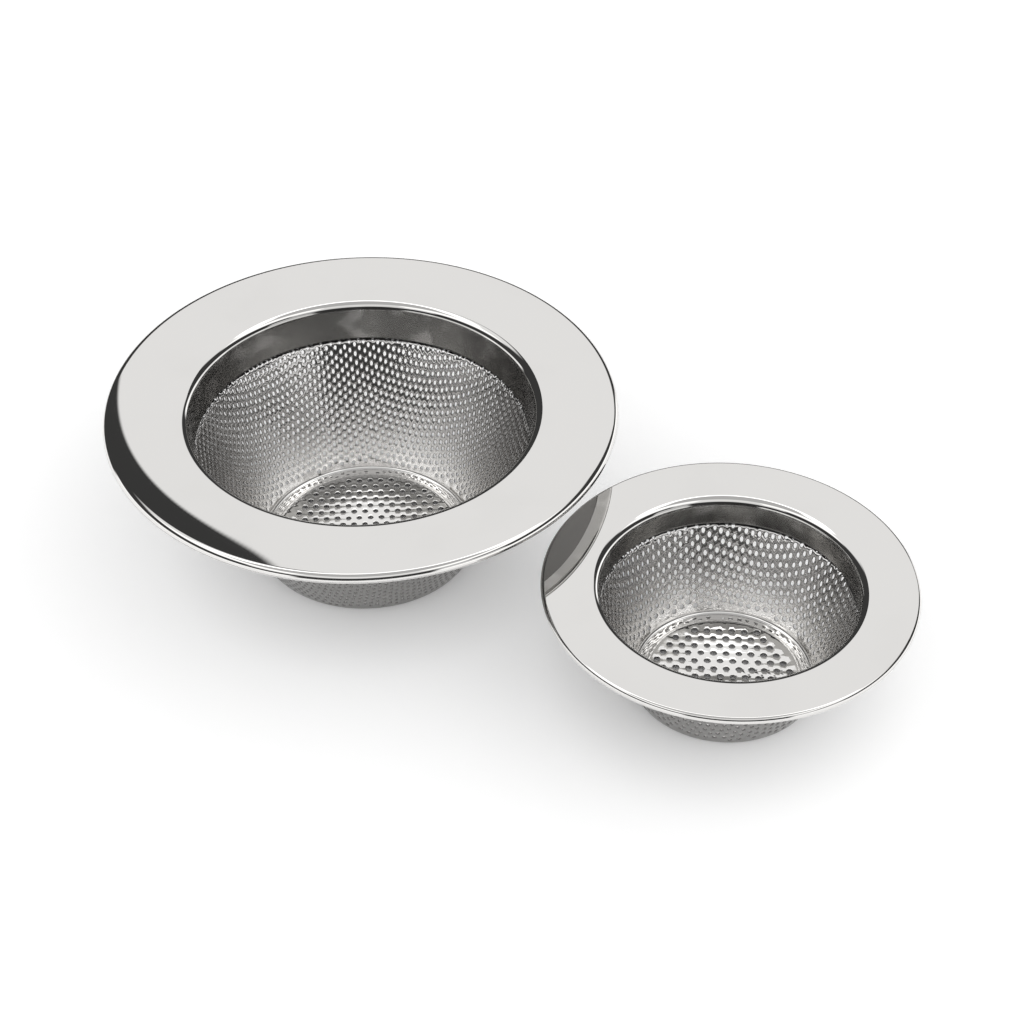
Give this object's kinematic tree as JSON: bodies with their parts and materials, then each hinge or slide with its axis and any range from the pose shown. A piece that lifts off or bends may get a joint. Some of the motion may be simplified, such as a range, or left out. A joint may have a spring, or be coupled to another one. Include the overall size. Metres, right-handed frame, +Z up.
{
  "type": "sink strainer set",
  "caption": "Large and small drop-in sink strainers: polished wide-rimmed steel rings crimped onto tapered perforated baskets that catch food scraps in a drain.",
  "frame": {"origin": "centre of the large strainer's base, on the surface that both strainers stand on", "axes": "+Z up along the large strainer's axis, +X to the right; the small strainer stands towards +X and -Y"},
  "size_m": [0.1732, 0.1403, 0.0389],
  "materials": {
    "polished_rim": "mirror-polished stainless steel",
    "perforated_basket": "bright drawn perforated stainless steel"
  },
  "bodies": {
    "large_strainer": {"large_rim": "polished_rim", "large_basket": "perforated_basket"},
    "small_strainer": {"small_rim": "polished_rim", "small_basket": "perforated_basket"}
  },
  "joints": [
    {"name": "small_strainer_slide", "type": "slide", "parent": "large_strainer", "child": "small_strainer", "axis": [0.866, -0.5, 0], "range_m": [0, 0.1]}
  ]
}
